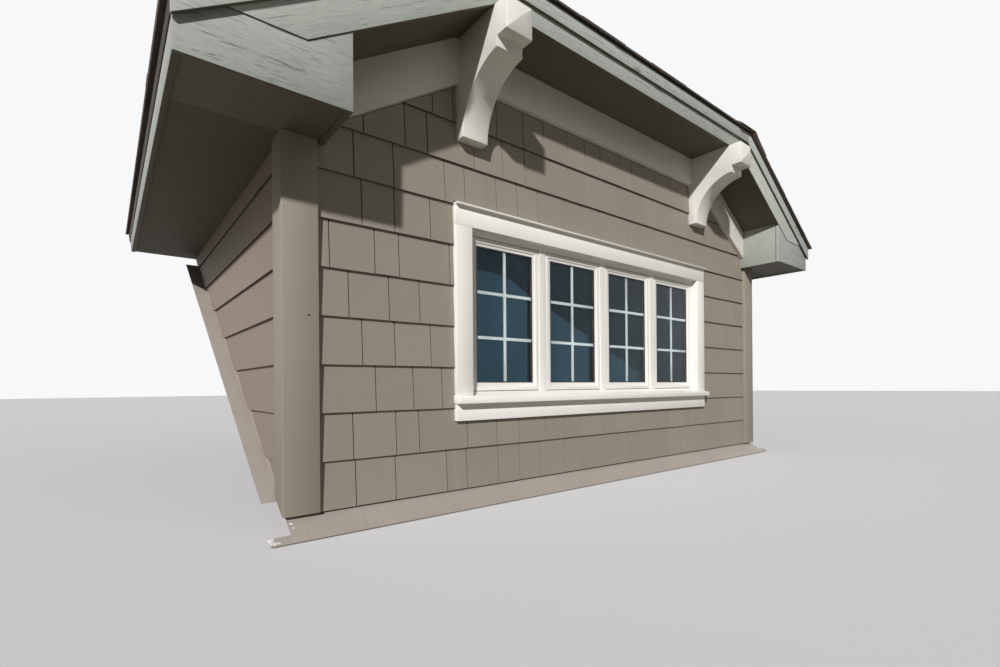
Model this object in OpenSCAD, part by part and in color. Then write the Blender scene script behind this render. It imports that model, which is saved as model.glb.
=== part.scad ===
// Gabled dormer with a clipped (jerkinhead) roof, boxed eave returns, two
// arched knee brackets and a row of four casement windows.
// X runs across the front, Y runs back into the house, Z is up, in millimetres.
// The origin is the middle of the underside of the front sole plate.

/* [Walls] */
// Width over the sheathing of the two cheek walls
wall_w = 3410; // [3200:10:4200]
// Depth of the studs
stud_d = 89; // [64:1:140]
// Thickness of studs, plates and rafters
stud_t = 38; // [30:1:50]
// Spacing of studs and rafters
stud_gap = 406; // [300:1:610]
// Thickness of the wall sheathing
sheath_t = 11; // [9:1:18]
// Thickness of the siding at the foot of each course
siding_t = 18; // [14:1:22]
// Thickness of the siding at the head of each course
siding_head_t = 8; // [5:1:12]
// Height of siding that each course shows
course_h = 177.8; // [120:0.1:220]
// Height of the foot of the siding above the underside of the sole plate
siding_lift = 30; // [24:1:60]
// Running clearance between siding and trim
siding_gap = 3; // [1:1:6]

/* [Wall trim] */
// Thickness of corner boards and window casings
trim_t = 30; // [24:1:40]
// Thickness of the frieze boards under the roof
frieze_t = 38; // [30:1:50]
// Width of a corner board on the front
corner_w = 127; // [90:1:180]
// Width of a corner board round the corner, with the front board's edge
corner_side_w = 114; // [80:1:180]
// Height of the frieze boards
frieze_h = 171; // [100:1:200]

/* [Main roof] */
// Rise of the main roof in 12
main_rise = 7.5; // [6:0.25:9]
// Gap between the foot of the front siding and the apron flashing
flash_gap = 12; // [12:1:24]
// Height of the foot of the cheek siding above the main roof deck
cheek_gap = 30; // [20:1:60]

/* [Dormer roof] */
// Rise of the dormer roof in 12
roof_rise = 7.5; // [6.5:0.25:9]
// Rise of the clipped front slope in 12
clip_rise = 7.5; // [6.5:0.25:9]
// Overhang of the eave fascia past the cheek sheathing
eave_over = 365; // [300:5:500]
// Overhang of the front fascia past the front sheathing
front_over = 293; // [250:1:330]
// Height of the foot of the eave fascias and returns
eave_z = 1360; // [1320:5:1450]
// Height of the foot of the front fascia under the clipped slope
clip_z = 1981; // [1920:1:2040]
// Height of eave fascia below the edge trim
eave_fascia_h = 96; // [70:1:130]
// Height of front fascia below the edge trim
front_fascia_h = 77; // [60:1:110]
// Width of rake fascia below the edge trim
rake_fascia_h = 113; // [90:1:125]
// Thickness of the fascia boards
fascia_t = 19; // [16:1:30]
// Height of the edge trim along the roof's edge
edge_h = 64; // [40:1:80]
// Thickness of the edge trim on the front and the rakes
edge_t = 13; // [8:1:20]
// How far the edge trim stands out past the eave fascia it sits on
eave_edge_out = 4; // [2:1:20]
// Length of a boxed eave return
return_w = 490; // [440:1:540]
// Height of the level cut at the foot of a rake fascia, above the foot of the return
rake_cut_h = 170; // [150:1:200]
// Set back of the return's face behind the rake fascia
return_back = 4; // [1:1:8]
// Thickness of the soffit boards
soffit_t = 9; // [6:1:12]
// Height of the front soffit above the foot of its fascia
front_lift = 4; // [1:1:12]
// Plumb height of the rake soffits above the foot of their fascias
rake_lift = 14; // [4:1:24]
// Height of the eave soffits above the foot of their fascias
eave_lift = 8; // [2:1:16]
// Depth of the rafters
rafter_h = 140; // [120:1:150]
// Depth of the notch where a rafter sits on the cheek wall
seat_h = 24; // [10:1:40]
// Clearance where one rafter meets another
seat_gap = 0.4; // [0.2:0.1:1]
// Depth of the ridge board
ridge_h = 184; // [160:1:240]
// Thickness of the roof deck
deck_t = 12; // [9:1:18]
// Thickness of the roof covering
shingle_t = 10; // [6:1:16]
// Overhang of the roof covering past the edge trim
shingle_over = 20; // [8:1:30]
// Thickness of the ridge and hip caps
cap_t = 6; // [4:1:10]
// Width of a ridge or hip cap on each side of its line
cap_w = 130; // [100:1:160]

/* [Window] */
// Width of the opening between the side casings
win_w = 1862; // [1600:1:1900]
// Height of the opening from sill to head casing
win_h = 740; // [640:1:780]
// Height of the top of the sill
win_z = 442; // [420:1:500]
// Number of casements side by side
sash_n = 4; // [2:1:5]
// Width of the frame beside the outer sashes
jamb_w = 17; // [12:1:40]
// Height of the frame above the sashes
head_h = 22; // [12:1:40]
// Height of the frame below the sashes
foot_h = 16; // [8:1:40]
// Width of the mullions between sashes
mullion_w = 50.5; // [34:0.5:60]
// Width of the sash stiles and rails
stile_w = 37; // [30:1:60]
// Width of the bead round each pane, at the inner edge of its sash
bead_w = 15; // [8:1:20]
// Set back of that bead from the face of its sash
bead_back = 5; // [2:1:6]
// Thickness of a sash
sash_t = 35; // [30:1:45]
// Thickness of the glass unit
glass_t = 18; // [10:1:24]
// Set back of the glass from the face of its sash
glass_back = 7; // [4:1:10]
// Clearance round each sash
sash_gap = 3; // [2:1:5]
// Width of the stop that a sash closes against
stop_w = 12; // [8:1:20]
// Depth of the window frame
frame_d = 80; // [70:1:100]
// Set back of the window frame from the face of the casings
reveal = 40; // [30:1:45]
// Set back of a sash from the face of the window frame
sash_back = 4; // [2:1:8]
// Overlap of the casings on the window frame
casing_lap = 14; // [8:1:20]
// Width of the side casings
casing_w = 89; // [60:1:120]
// Height of the head casing
head_casing_h = 86; // [60:1:120]
// Height of the drip cap
drip_h = 14; // [10:1:25]
// Projection of the drip cap past the head casing
drip_out = 18; // [10:1:30]
// Height of the sill where it meets the sheathing
sill_h = 39; // [30:1:50]
// Fall of the sill's top from there to its nose
sill_fall = 13; // [4:1:20]
// Projection of the sill past the casings
sill_out = 32; // [15:1:50]
// Reach of the sill's ends past the side casings
sill_horn = 5; // [5:1:30]
// Height of the apron board below the sill
apron_h = 76; // [50:1:110]

/* [Brackets] */
// Width of a knee bracket
bracket_w = 134; // [100:1:170]
// Set back of a bracket's outer side from the knee of the fascia
bracket_set = 1; // [0:1:40]
// Height of the foot of a bracket
bracket_z = 1553; // [1500:1:1600]
// Reach of a bracket from the wall sheathing
bracket_out = 362; // [340:1:400]
// Depth of a bracket's foot
bracket_foot = 63; // [45:1:80]
// Radius of a bracket's arch
bracket_r = 260; // [240:1:270]
// Height of the square end block
block_h = 128; // [110:1:140]
// Length of the end block in front of the arch
block_d = 59; // [40:1:80]
// Height of the pyramid cut on the end block
point_d = 19; // [8:1:30]

/* [Flashing] */
// Thickness of the sheet metal
metal_t = 2; // [1:0.5:4]
// Run of the apron flashing in front of the siding
apron_run = 88; // [80:1:150]
// Height of the apron flashing's leg behind the siding
apron_leg = 60; // [30:1:100]
// Reach of the apron flashing past the corner boards
apron_reach = 60; // [30:1:100]
// Run of the tongues at the ends of the apron flashing
tongue_run = 30; // [20:1:70]
// Width of the cheek flashing on the main roof
cheek_flash_w = 75; // [50:1:120]
// Thickness of the main roof's covering under the apron
main_cover_t = 12; // [8:1:16]

/* [Hidden] */

// Colours, as the photographed dormer shows them
taupe = [0.55, 0.52, 0.47];
flashing_grey = [0.64, 0.61, 0.56];
sage = [0.65, 0.68, 0.63];
soffit_green = [0.40, 0.40, 0.34];
warm_white = [0.92, 0.91, 0.87];
lumber = [0.78, 0.65, 0.46];
board = [0.72, 0.60, 0.42];
shingle_brown = [0.35, 0.31, 0.29];
glass_blue = [0.45, 0.58, 0.66, 0.4];

// Slopes as rise over run, and what turns a square thickness into a plumb one
main_p = main_rise / 12;
roof_p = roof_rise / 12;
clip_p = clip_rise / 12;
main_plumb = sqrt(1 + main_p * main_p);
roof_plumb = sqrt(1 + roof_p * roof_p);
clip_plumb = sqrt(1 + clip_p * clip_p);

// Planes of the front wall, from the studs outward
stud_front = -stud_d / 2;
sheath_y = stud_front - sheath_t;
siding_y = sheath_y - siding_t;
trim_y = sheath_y - trim_t;

// Planes of the cheek walls
sheath_x = wall_w / 2;
stud_x = sheath_x - sheath_t;
siding_x = sheath_x + siding_t;
trim_x = sheath_x + trim_t;
corner_x = trim_x - corner_w;
corner_back = trim_y + corner_side_w;

// Faces of the fascias and of the edge trim in front of them
fascia_x = sheath_x + eave_over;
fascia_y = sheath_y - front_over;
edge_x = fascia_x + eave_edge_out;
edge_y = fascia_y - edge_t;

// The side slopes carry the deck on z = apex_z - roof_p * |x|
apex_z = eave_z + eave_fascia_h + edge_h + roof_p * edge_x;
clip_top = clip_z + front_fascia_h + edge_h;
edge_v = edge_h * roof_plumb;
fascia_v = (rake_fascia_h + edge_h) * roof_plumb;
soffit_v = fascia_v - rake_lift;
rafter_v = rafter_h * roof_plumb;
frieze_v = frieze_h * roof_plumb;

// The clipped slope meets the side slopes on lines from the knees to the ridge
knee_x = (apex_z - clip_top) / roof_p;
hip_run = knee_x * roof_p / clip_p;
hip_y = edge_y + hip_run;

// Widths at which lines parallel to the side slopes reach the levels they meet
return_x = fascia_x - return_w;
cut_z = eave_z + rake_cut_h;
rake_top_x = (apex_z - cut_z) / roof_p;
rake_foot_x = (apex_z - fascia_v - cut_z) / roof_p;
fascia_knee_x = (apex_z - fascia_v - clip_z) / roof_p;
soffit_z = clip_z + front_lift;
soffit_knee_x = (apex_z - soffit_v - soffit_z) / roof_p;
eave_soffit_z = eave_z + eave_lift;
edge_knee_x = (apex_z - edge_v - clip_top + edge_h) / roof_p;
frieze_foot_z = soffit_z - frieze_h;
bracket_x = fascia_knee_x - bracket_set - bracket_w / 2;

// The cheek walls end under the rafters, the front wall under both slopes
cheek_top = apex_z - roof_p * stud_x - rafter_v + seat_h;
front_top = clip_top + clip_p * (sheath_y - edge_y) - rafter_h * clip_plumb;
front_top_x = (apex_z - rafter_v - front_top) / roof_p;

// Depth at which the ridge runs into the main roof, with room to spare
far_y = main_y(apex_z + edge_h);

// Window, from the casings inward
casing_x = win_w / 2 + casing_w;
head_z = win_z + win_h;
casing_top = head_z + head_casing_h;
frame_y = trim_y + reveal;
sash_y = frame_y + sash_back;
frame_x = win_w / 2 + casing_lap;
sash_w = (win_w - 2 * jamb_w - (sash_n - 1) * mullion_w) / sash_n;
sash_z = win_z + foot_h;
sash_h = win_h - foot_h - head_h;
rough_gap = 6;
rough_x = frame_x + rough_gap;
rough_z0 = win_z - casing_lap - rough_gap;
rough_z1 = head_z + casing_lap + rough_gap;

// Height of the underside of the rafters, of the main roof deck and of the slopes
function slope_z(x) = apex_z - roof_p * abs(x);
function flange_z(y) = siding_lift - flash_gap + main_p * (y - siding_y);
function main_z(y) = flange_z(y) - (main_cover_t + metal_t) * main_plumb;
function main_y(z) = siding_y + (z - main_z(siding_y)) / main_p;
function clip_slope_z(y) = clip_top + clip_p * (y - edge_y);
function sash_x(i) = -win_w / 2 + jamb_w + i * (sash_w + mullion_w);
function sill_top(y) = win_z - sill_fall * (sheath_y - y) / (trim_t + sill_out);

// Extrudes an outline drawn in X and Z from one depth to another
module along_y(y0, y1) {
    translate([0, y1, 0])
        rotate([90, 0, 0])
            linear_extrude(y1 - y0)
                children();
}

// Extrudes an outline drawn in Y and Z from one width to another
module along_x(x0, x1) {
    translate([x0, 0, 0])
        rotate([90, 0, 90])
            linear_extrude(x1 - x0)
                children();
}

// Draws its children on the right, or mirrored on the left
module on_side(side) {
    if (side < 0)
        mirror([1, 0, 0]) children();
    else
        children();
}

// Draws its children on both sides
module both_sides() {
    for (side = [-1, 1])
        on_side(side) children();
}

// Everything above a plane parallel to the main roof
module above_main(lift) {
    near = edge_y - front_over;
    far = far_y + front_over;
    along_x(-wall_w, wall_w)
        polygon([
            [near, main_z(near) + lift],
            [far, main_z(far) + lift],
            [far, 2 * apex_z],
            [near, 2 * apex_z]
        ]);
}

// A board in the front wall's plane, from its outline in X and Z
module front_board(t) {
    along_y(sheath_y - t, sheath_y) children();
}

// Front wall

// Outline of the front wall up to the underside of the rafters
module wall_outline(half, foot) {
    polygon([
        [-half, foot],
        [half, foot],
        [half, slope_z(half) - rafter_v],
        [front_top_x, front_top],
        [-front_top_x, front_top],
        [-half, slope_z(half) - rafter_v]
    ]);
}

// Studs, plates, header and sill of the front wall, drawn flat
module front_framing() {
    plate_v = stud_t * roof_plumb;
    cripples = floor((stud_x - stud_t) / stud_gap);
    intersection() {
        wall_outline(stud_x, 0);
        union() {
            translate([-stud_x, 0]) square([2 * stud_x, stud_t]);
            translate([-stud_x, front_top - stud_t]) square([2 * stud_x, stud_t]);
            for (side = [-1, 1])
                scale([side, 1]) {
                    polygon([
                        [stud_x, slope_z(stud_x) - rafter_v],
                        [front_top_x, front_top],
                        [front_top_x, front_top - plate_v],
                        [stud_x, slope_z(stud_x) - rafter_v - plate_v]
                    ]);
                    translate([stud_x - stud_t, 0]) square([stud_t, front_top]);
                    translate([rough_x, 0]) square([2 * stud_t, front_top]);
                }
            translate([-rough_x, rough_z1]) square([2 * rough_x, 3 * stud_t]);
            translate([-rough_x, rough_z0 - stud_t]) square([2 * rough_x, stud_t]);
            for (i = [-cripples : cripples])
                translate([i * stud_gap - stud_t / 2, 0])
                    difference() {
                        square([stud_t, front_top]);
                        translate([-stud_t, rough_z0]) square([3 * stud_t, rough_z1 - rough_z0]);
                    }
        }
    }
}

module front_frame() {
    color(lumber)
        along_y(-stud_d / 2, stud_d / 2)
            difference() {
                front_framing();
                translate([-rough_x, rough_z0]) square([2 * rough_x, rough_z1 - rough_z0]);
            }
}

module front_sheathing() {
    color(board)
        along_y(sheath_y, stud_front)
            difference() {
                wall_outline(sheath_x, 0);
                translate([-rough_x, rough_z0]) square([2 * rough_x, rough_z1 - rough_z0]);
            }
}

// Saw-tooth section of lapped courses, thick at the foot of each, out from the wall
function course_points(count) = [
    for (k = [0 : count - 1])
        each [
            [siding_t, siding_lift + k * course_h],
            [siding_head_t, siding_lift + (k + 1) * course_h]
        ]
];

module course_section(count) {
    polygon(concat(
        [[0, siding_lift]],
        course_points(count),
        [[0, siding_lift + count * course_h]]
    ));
}

// Face of the front wall that the siding covers
module siding_outline() {
    edge = corner_x - siding_gap;
    side_z = eave_soffit_z - siding_gap;
    inner = return_x - siding_gap;
    foot = soffit_v + frieze_v + siding_gap;
    top = frieze_foot_z - siding_gap;
    top_x = (apex_z - foot - top) / roof_p;
    polygon([
        [-edge, siding_lift],
        [edge, siding_lift],
        [edge, side_z],
        [inner, side_z],
        [inner, slope_z(inner) - foot],
        [top_x, top],
        [-top_x, top],
        [-inner, slope_z(inner) - foot],
        [-inner, side_z],
        [-edge, side_z]
    ]);
}

module front_siding() {
    count = ceil((clip_z - siding_lift) / course_h);
    color(taupe)
        intersection() {
            difference() {
                translate([0, sheath_y, 0])
                    mirror([0, 1, 0])
                        along_x(-sheath_x, sheath_x)
                            course_section(count);
                translate([-sheath_x, sheath_y - metal_t - 1, 0])
                    cube([2 * sheath_x, siding_t, siding_lift + apron_leg + siding_gap]);
            }
            along_y(siding_y - 1, sheath_y + 1)
                difference() {
                    siding_outline();
                    window_trim_outline(siding_gap);
                    for (side = [-1, 1])
                        translate([side * bracket_x - bracket_w / 2 - siding_gap, bracket_z - siding_gap])
                            square([bracket_w + 2 * siding_gap, clip_z]);
                }
        }
}

// Outline of the casings, cap, sill and apron, grown by a clearance
module window_trim_outline(grow) {
    low = win_z - sill_h - apron_h;
    translate([-casing_x - grow, low - grow])
        square([2 * (casing_x + grow), casing_top + drip_h - low + 2 * grow]);
    translate([-casing_x - sill_horn - grow, win_z - sill_h - grow])
        square([2 * (casing_x + sill_horn + grow), sill_h + 2 * grow]);
}

// Cheek walls

module cheek_framing() {
    end_y = main_y(cheek_top);
    plate_v = stud_t * main_plumb;
    front = stud_d / 2;
    count = floor((end_y - front) / stud_gap);
    intersection() {
        polygon([
            [front, main_z(front)],
            [end_y, main_z(end_y)],
            [end_y, cheek_top],
            [front, cheek_top]
        ]);
        union() {
            polygon([
                [front, main_z(front)],
                [end_y, main_z(end_y)],
                [end_y, main_z(end_y) + plate_v],
                [front, main_z(front) + plate_v]
            ]);
            translate([front, cheek_top - stud_t]) square([end_y - front, stud_t]);
            for (i = [0 : count])
                translate([front + i * stud_gap, 0]) square([stud_t, cheek_top]);
        }
    }
}

module cheek_frames() {
    color(lumber)
        both_sides()
            along_x(stud_x - stud_d, stud_x)
                cheek_framing();
}

// Height of the top edge of the cheek sheathing
cheek_sheath_top = slope_z(sheath_x) - rafter_v;

module cheek_sheathing() {
    end_y = main_y(cheek_sheath_top);
    color(board)
        both_sides()
            along_x(stud_x, sheath_x)
                polygon([
                    [stud_front, main_z(stud_front)],
                    [end_y, cheek_sheath_top],
                    [stud_front, cheek_sheath_top]
                ]);
}

module cheek_siding(side) {
    count = ceil((eave_soffit_z - siding_lift) / course_h);
    front = corner_back + siding_gap;
    top = eave_soffit_z - siding_gap;
    end_y = main_y(top - cheek_gap);
    color(taupe)
        on_side(side)
            intersection() {
                translate([sheath_x, 0, 0])
                    along_y(front, end_y)
                        course_section(count);
                along_x(sheath_x - 1, siding_x + 1)
                    polygon([
                        [front, main_z(front) + cheek_gap],
                        [end_y, top],
                        [front, top]
                    ]);
            }
}

module corner_board(side) {
    color(taupe)
        on_side(side)
            intersection() {
                translate([0, 0, siding_lift])
                    linear_extrude(eave_soffit_z - siding_lift)
                        polygon([
                            [corner_x, trim_y],
                            [trim_x, trim_y],
                            [trim_x, corner_back],
                            [sheath_x, corner_back],
                            [sheath_x, sheath_y],
                            [corner_x, sheath_y]
                        ]);
                above_main((main_cover_t + metal_t) * main_plumb + flash_gap / 2);
            }
}

// Window

module window_frame() {
    color(warm_white)
        difference() {
            translate([-frame_x, sheath_y, win_z - casing_lap])
                cube([2 * frame_x, frame_y + frame_d - sheath_y, win_h + 2 * casing_lap]);
            translate([-win_w / 2, sheath_y - 1, win_z])
                cube([win_w, frame_y - sheath_y + 1, win_h]);
            for (i = [0 : sash_n - 1]) {
                translate([sash_x(i) - sash_gap, frame_y - 1, sash_z - sash_gap])
                    cube([sash_w + 2 * sash_gap, sash_back + sash_t + 1, sash_h + 2 * sash_gap]);
                translate([sash_x(i) + stop_w, frame_y, sash_z + stop_w])
                    cube([sash_w - 2 * stop_w, frame_d + 1, sash_h - 2 * stop_w]);
            }
        }
}

module window_sashes() {
    open_w = sash_w - 2 * stile_w;
    open_h = sash_h - 2 * stile_w;
    bead_x = stile_w - bead_w;
    color(warm_white)
        for (i = [0 : sash_n - 1])
            translate([sash_x(i), sash_y, sash_z])
                difference() {
                    cube([sash_w, sash_t, sash_h]);
                    translate([stile_w, -1, stile_w])
                        cube([open_w, sash_t + 2, open_h]);
                    translate([bead_x, -1, bead_x])
                        cube([open_w + 2 * bead_w, bead_back + 1, open_h + 2 * bead_w]);
                }
}

module window_glass() {
    color(glass_blue)
        for (i = [0 : sash_n - 1])
            translate([sash_x(i) + stile_w, sash_y + glass_back, sash_z + stile_w])
                cube([sash_w - 2 * stile_w, glass_t, sash_h - 2 * stile_w]);
}

module head_casing() {
    color(warm_white)
        front_board(trim_t)
            translate([-casing_x, head_z])
                square([2 * casing_x, head_casing_h]);
}

module drip_cap() {
    color(warm_white)
        along_x(-casing_x, casing_x)
            polygon([
                [sheath_y, casing_top],
                [trim_y - drip_out, casing_top],
                [trim_y - drip_out, casing_top + drip_h / 2],
                [sheath_y, casing_top + drip_h]
            ]);
}

// Side casings with their feet cut to the slope of the sill
module side_casings() {
    color(warm_white)
        both_sides()
            along_x(win_w / 2, casing_x)
                polygon([
                    [sheath_y, win_z],
                    [trim_y, sill_top(trim_y)],
                    [trim_y, head_z],
                    [sheath_y, head_z]
                ]);
}

// The sill's top falls towards its nose, and its ends run past the casings
module window_sill() {
    nose = trim_y - sill_out;
    color(warm_white)
        along_x(-casing_x - sill_horn, casing_x + sill_horn)
            polygon([
                [sheath_y, win_z - sill_h],
                [nose, win_z - sill_h],
                [nose, sill_top(nose)],
                [sheath_y, win_z]
            ]);
}

module apron_board() {
    color(warm_white)
        front_board(trim_t)
            translate([-casing_x, win_z - sill_h - apron_h])
                square([2 * casing_x, apron_h]);
}

// Friezes and brackets

module front_frieze() {
    half = bracket_x - bracket_w / 2;
    color(warm_white)
        front_board(frieze_t)
            translate([-half, frieze_foot_z])
                square([2 * half, frieze_h]);
}

module rake_friezes() {
    near = bracket_x + bracket_w / 2;
    top = soffit_v;
    color(warm_white)
        both_sides()
            front_board(frieze_t)
                intersection() {
                    polygon([
                        [near, slope_z(near) - top],
                        [return_x, slope_z(return_x) - top],
                        [return_x, slope_z(return_x) - top - frieze_v],
                        [near, slope_z(near) - top - frieze_v]
                    ]);
                    square([return_x, soffit_z]);
                }
}

module bracket(side) {
    block_z = clip_z - block_h;
    step = bracket_out - block_d;
    notch = front_over - fascia_t;
    front = sheath_y - bracket_out;
    color(warm_white)
        translate([side * bracket_x, 0, 0]) {
            difference() {
                translate([0, sheath_y, 0])
                    mirror([0, 1, 0])
                        along_x(-bracket_w / 2, bracket_w / 2)
                            polygon([
                                [0, bracket_z],
                                [step, bracket_z],
                                [step, block_z],
                                [bracket_out, block_z],
                                [bracket_out, clip_z],
                                [notch, clip_z],
                                [notch, soffit_z],
                                [0, soffit_z]
                            ]);
                translate([-bracket_w, sheath_y - bracket_foot - bracket_r, bracket_z])
                    rotate([0, 90, 0])
                        cylinder(r = bracket_r, h = 2 * bracket_w, $fn = 96);
            }
            intersection() {
                translate([0, 0, block_z])
                    linear_extrude(block_h)
                        polygon([
                            [-bracket_w / 2, front + block_d / 2],
                            [-bracket_w / 2, front],
                            [0, front - point_d],
                            [bracket_w / 2, front],
                            [bracket_w / 2, front + block_d / 2]
                        ]);
                along_x(-bracket_w / 2, bracket_w / 2)
                    polygon([
                        [front + block_d / 2, block_z],
                        [front, block_z],
                        [front - point_d, clip_z - block_h / 2],
                        [front, clip_z],
                        [front + block_d / 2, clip_z]
                    ]);
            }
        }
}

// Eaves

// Front, inner end and bottom of the boxed return
module eave_return(side) {
    face = fascia_y + return_back;
    fascia_back = fascia_y + fascia_t;
    end_x = return_x + fascia_t;
    color(sage)
        on_side(side) {
            along_y(face, face + fascia_t)
                polygon([
                    [return_x, eave_z],
                    [fascia_x, eave_z],
                    [fascia_x, slope_z(fascia_x)],
                    [rake_top_x, cut_z],
                    [rake_foot_x, cut_z],
                    [return_x, slope_z(return_x) - fascia_v]
                ]);
            along_y(fascia_back, sheath_y)
                polygon([
                    [return_x, eave_z],
                    [end_x, eave_z],
                    [end_x, slope_z(end_x) - soffit_v],
                    [return_x, slope_z(return_x) - soffit_v]
                ]);
            translate([return_x, face, eave_soffit_z])
                cube([fascia_x - fascia_t - return_x, sheath_y - face, soffit_t]);
        }
}

module front_fascia() {
    color(sage)
        along_y(fascia_y, fascia_y + fascia_t)
            polygon([
                [-fascia_knee_x, clip_z],
                [fascia_knee_x, clip_z],
                [knee_x, clip_top],
                [-knee_x, clip_top]
            ]);
}

module rake_fascia(side) {
    color(sage)
        on_side(side)
            along_y(fascia_y, fascia_y + fascia_t)
                polygon([
                    [fascia_knee_x, clip_z],
                    [knee_x, clip_top],
                    [rake_top_x, cut_z],
                    [rake_foot_x, cut_z]
                ]);
}

module eave_fascias() {
    back = fascia_x - fascia_t;
    top = eave_z + eave_fascia_h;
    color(sage)
        both_sides()
            intersection() {
                along_y(fascia_y + return_back + fascia_t, far_y)
                    polygon([
                        [back, eave_z],
                        [fascia_x, eave_z],
                        [fascia_x, top],
                        [back, top]
                    ]);
                above_main(main_cover_t);
            }
}

module front_trim() {
    color(sage)
        along_y(edge_y, fascia_y)
            polygon([
                [-edge_knee_x, clip_top - edge_h],
                [edge_knee_x, clip_top - edge_h],
                [knee_x, clip_top],
                [-knee_x, clip_top]
            ]);
}

module rake_trims() {
    color(sage)
        both_sides()
            along_y(edge_y, fascia_y)
                polygon([
                    [edge_knee_x, clip_top - edge_h],
                    [knee_x, clip_top],
                    [edge_x, slope_z(edge_x)],
                    [edge_x, slope_z(edge_x) - edge_v]
                ]);
}

// Edge trim on top of the eave fascia, with its face running on past the return
module eave_trims() {
    back = fascia_x - fascia_t;
    foot = eave_z + eave_fascia_h;
    color(sage)
        both_sides()
            intersection() {
                union() {
                    along_y(fascia_y, far_y)
                        polygon([
                            [fascia_x, foot],
                            [edge_x, foot],
                            [edge_x, slope_z(edge_x)],
                            [fascia_x, slope_z(fascia_x)]
                        ]);
                    along_y(fascia_y + return_back + fascia_t, far_y)
                        polygon([
                            [back, foot],
                            [fascia_x, foot],
                            [fascia_x, slope_z(fascia_x)],
                            [back, slope_z(back)]
                        ]);
                }
                above_main(main_cover_t);
            }
}

module front_soffit() {
    color(soffit_green)
        along_y(fascia_y + fascia_t, sheath_y)
            polygon([
                [-soffit_knee_x, soffit_z],
                [soffit_knee_x, soffit_z],
                [soffit_knee_x - soffit_t / roof_p, soffit_z + soffit_t],
                [soffit_t / roof_p - soffit_knee_x, soffit_z + soffit_t]
            ]);
}

module rake_soffits() {
    v = soffit_t * roof_plumb;
    foot = return_x + fascia_t;
    color(soffit_green)
        both_sides()
            along_y(fascia_y + fascia_t, sheath_y)
                polygon([
                    [soffit_knee_x, soffit_z],
                    [foot, slope_z(foot) - soffit_v],
                    [foot, slope_z(foot) - soffit_v + v],
                    [soffit_knee_x, soffit_z + v]
                ]);
}

module eave_soffits() {
    color(soffit_green)
        both_sides()
            intersection() {
                translate([sheath_x, sheath_y, eave_soffit_z])
                    cube([eave_over - fascia_t, far_y, soffit_t]);
                above_main(main_cover_t);
            }
}

// Roof

// Plan of a side slope, from the ridge to its edges
module side_plan(over) {
    edge = edge_x + over;
    polygon([
        [0, hip_y],
        [knee_x, edge_y],
        [knee_x, edge_y - over],
        [edge, edge_y - over],
        [edge, far_y],
        [0, far_y]
    ]);
}

// Plan of the clipped front slope
module clip_plan(over) {
    polygon([
        [-knee_x, edge_y - over],
        [knee_x, edge_y - over],
        [knee_x, edge_y],
        [0, hip_y],
        [-knee_x, edge_y]
    ]);
}

// Layer over a side slope, between two heights square to it
module side_layer(side, lo, hi, over) {
    edge = edge_x + over;
    on_side(side)
        intersection() {
            along_y(edge_y - over, far_y)
                polygon([
                    [0, apex_z + lo * roof_plumb],
                    [edge, slope_z(edge) + lo * roof_plumb],
                    [edge, slope_z(edge) + hi * roof_plumb],
                    [0, apex_z + hi * roof_plumb]
                ]);
            linear_extrude(2 * apex_z) side_plan(over);
            above_main(lo);
        }
}

// Layer over the clipped slope, between two heights square to it
module clip_layer(lo, hi, over) {
    front = edge_y - over;
    intersection() {
        along_x(-knee_x, knee_x)
            polygon([
                [front, clip_slope_z(front) + lo * clip_plumb],
                [hip_y, clip_slope_z(hip_y) + lo * clip_plumb],
                [hip_y, clip_slope_z(hip_y) + hi * clip_plumb],
                [front, clip_slope_z(front) + hi * clip_plumb]
            ]);
        linear_extrude(2 * apex_z) clip_plan(over);
    }
}

module ridge_board() {
    color(lumber)
        intersection() {
            translate([-stud_t / 2, hip_y, apex_z - roof_p * stud_t / 2 - ridge_h])
                cube([stud_t, far_y - hip_y, ridge_h]);
            above_main(0);
        }
}

// Length of the hips in plan, and their direction
hip_len = norm([knee_x, hip_run]);
hip_turn = atan2(hip_run, -knee_x);

// Half the thickness of a hip rafter, measured along X and along Y
hip_half_x = stud_t / 2 * hip_len / hip_run;
hip_half_y = stud_t / 2 * hip_len / knee_x;

module rafters() {
    tail = fascia_x - fascia_t;
    near = stud_t / 2;
    first = fascia_y + return_back + fascia_t;
    count = floor((far_y - first) / stud_gap);
    color(lumber)
        both_sides()
            intersection() {
                difference() {
                    for (i = [1 : count])
                        along_y(first + i * stud_gap, first + i * stud_gap + stud_t)
                            polygon([
                                [near, slope_z(near)],
                                [tail, slope_z(tail)],
                                [tail, slope_z(tail) - rafter_v],
                                [near, slope_z(near) - rafter_v]
                            ]);
                    translate([stud_x - stud_d, stud_d / 2, 0])
                        cube([stud_d, far_y, cheek_top]);
                    translate([stud_x, sheath_y, 0])
                        cube([sheath_t, far_y, cheek_sheath_top]);
                    translate([sheath_x, sheath_y, 0])
                        cube([eave_over, far_y, eave_soffit_z + soffit_t]);
                    along_y(fascia_y, stud_d / 2) wall_outline(sheath_x, 0);
                }
                linear_extrude(2 * apex_z)
                    polygon([
                        [near, hip_y + hip_half_y],
                        [knee_x, edge_y + hip_half_y],
                        [tail, edge_y],
                        [tail, far_y],
                        [near, far_y]
                    ]);
                above_main(0);
            }
}

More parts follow.
